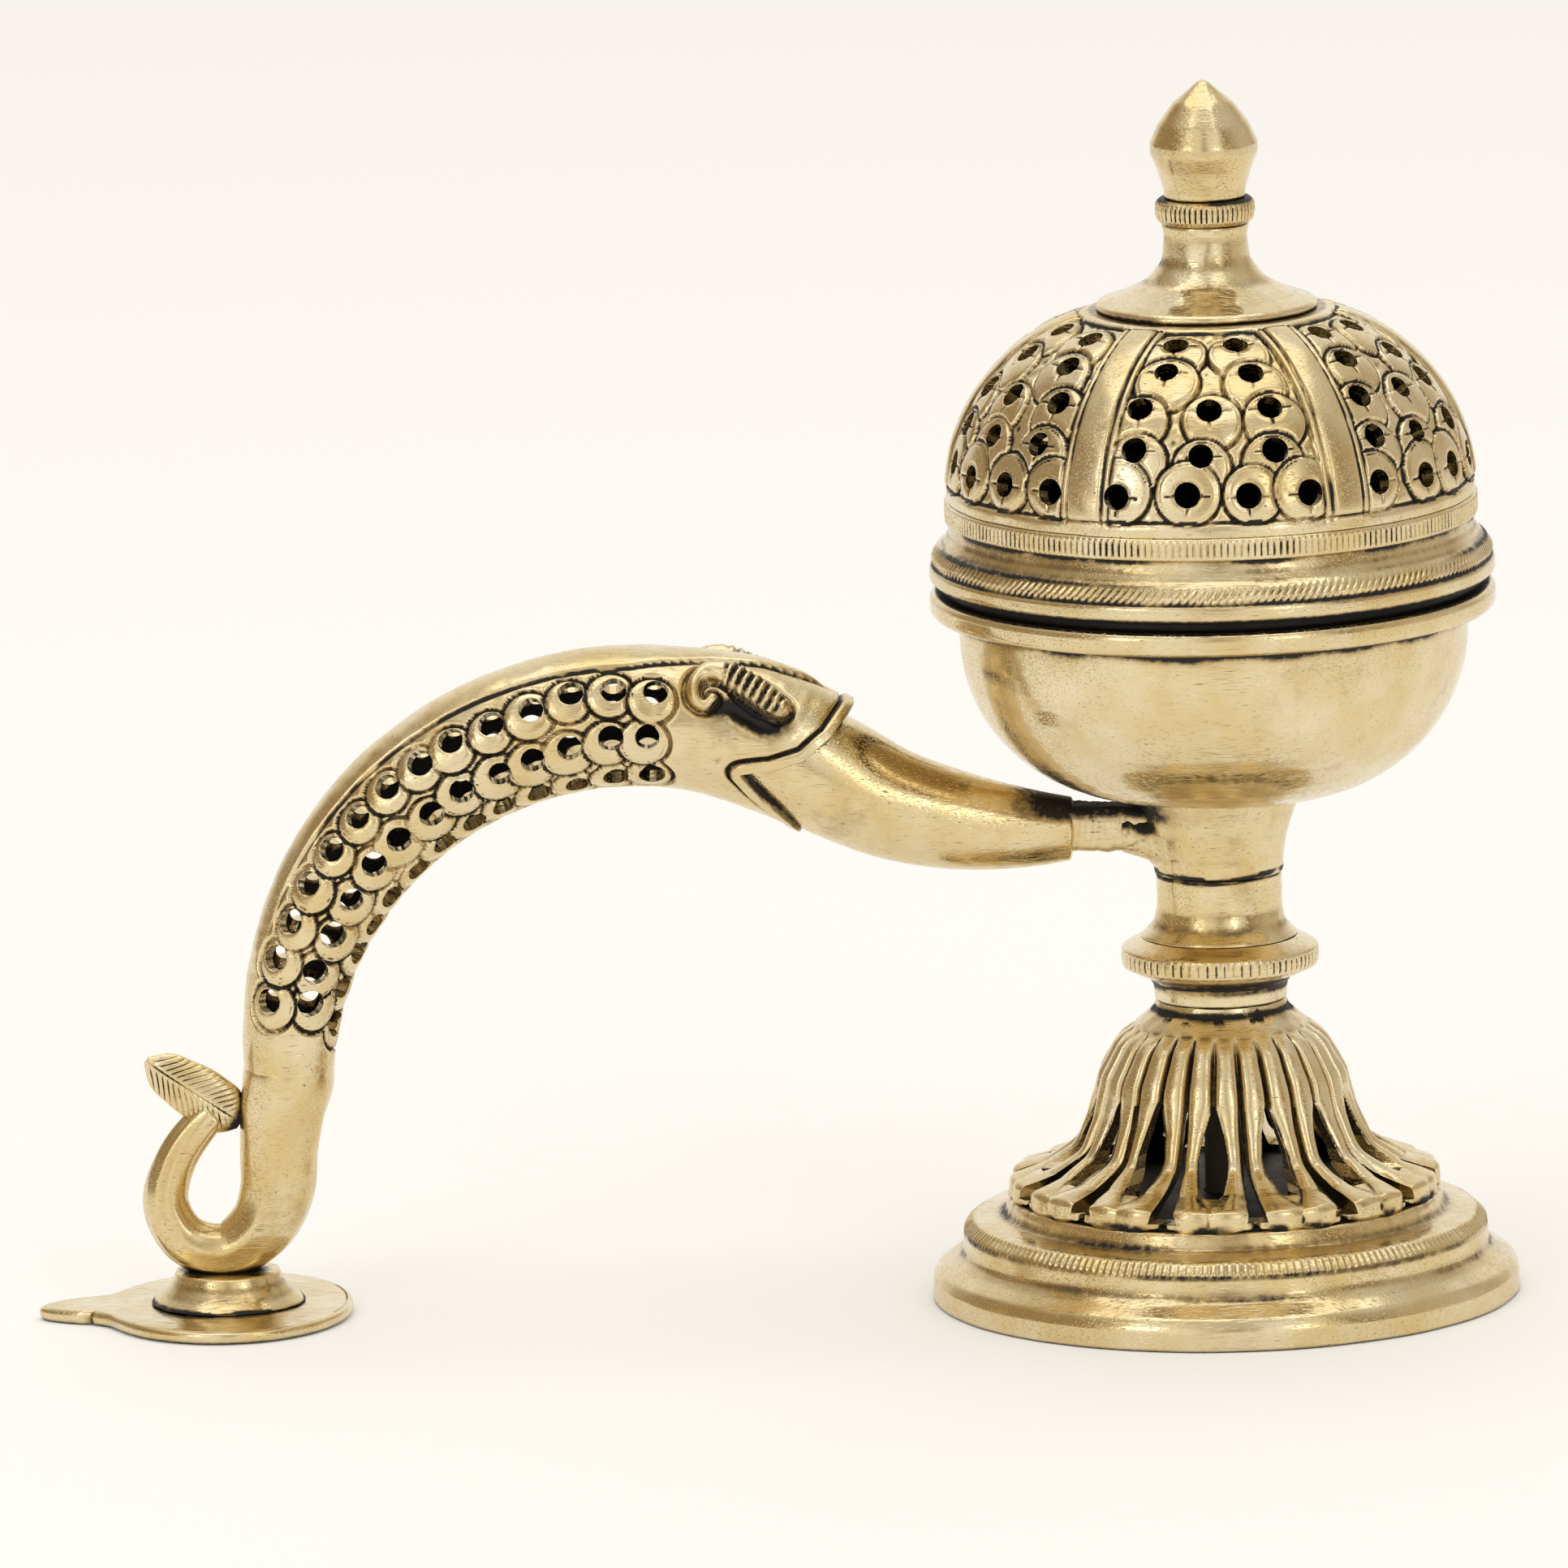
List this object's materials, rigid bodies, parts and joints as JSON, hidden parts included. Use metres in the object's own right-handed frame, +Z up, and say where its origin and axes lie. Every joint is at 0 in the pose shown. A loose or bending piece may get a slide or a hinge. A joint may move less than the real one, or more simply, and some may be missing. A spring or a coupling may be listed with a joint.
{
  "type": "standing incense censer",
  "caption": "Brass incense censer: round bowl with pierced lift-off dome lid, turned stem, lotus base and arched creature handle with a leaf foot.",
  "frame": {"origin": "on the table, under the middle of the whole outline", "axes": "+Z up, +X from the handle's foot towards the bowl, +Y to the back"},
  "size_m": [0.229, 0.0906, 0.1893],
  "materials": {
    "turned_brass": "polished, finely brushed, warm yellow brass",
    "cast_brass": "polished relief with black patina in the recesses",
    "brazed_brass": "rough brazed joint, filed and darkened",
    "fastener_brass": "plain machined brass, hidden"
  },
  "bodies": {
    "censer": {"base_plate": "turned_brass", "lotus_bell": "cast_brass", "stem_collar": "turned_brass", "stem_barrel": "turned_brass", "stem_neck": "turned_brass", "bowl": "turned_brass", "tie_rod": "fastener_brass", "bowl_washer": "fastener_brass", "bowl_nut": "fastener_brass", "base_washer": "fastener_brass", "base_nut": "fastener_brass", "handle_tube": "cast_brass", "tail": "cast_brass", "tail_fin": "cast_brass", "foot_plate": "turned_brass", "foot_boss": "turned_brass", "foot_rivet": "fastener_brass", "snout": "turned_brass", "head": "cast_brass", "brow_near": "cast_brass", "brow_far": "cast_brass", "back_ridge": "cast_brass", "handle_lug": "brazed_brass", "braze_collar": "brazed_brass"},
    "lid": {"lid_rim": "turned_brass", "lid_dome": "cast_brass", "lid_neck": "turned_brass", "finial_collar": "turned_brass", "finial_bud": "turned_brass", "finial_stud": "fastener_brass", "lid_washer": "fastener_brass", "lid_nut": "fastener_brass"}
  },
  "joints": [
    {"name": "lid_lift", "type": "slide", "parent": "censer", "child": "lid", "axis": [0, 0, 1], "range_m": [0, 0.06]}
  ]
}
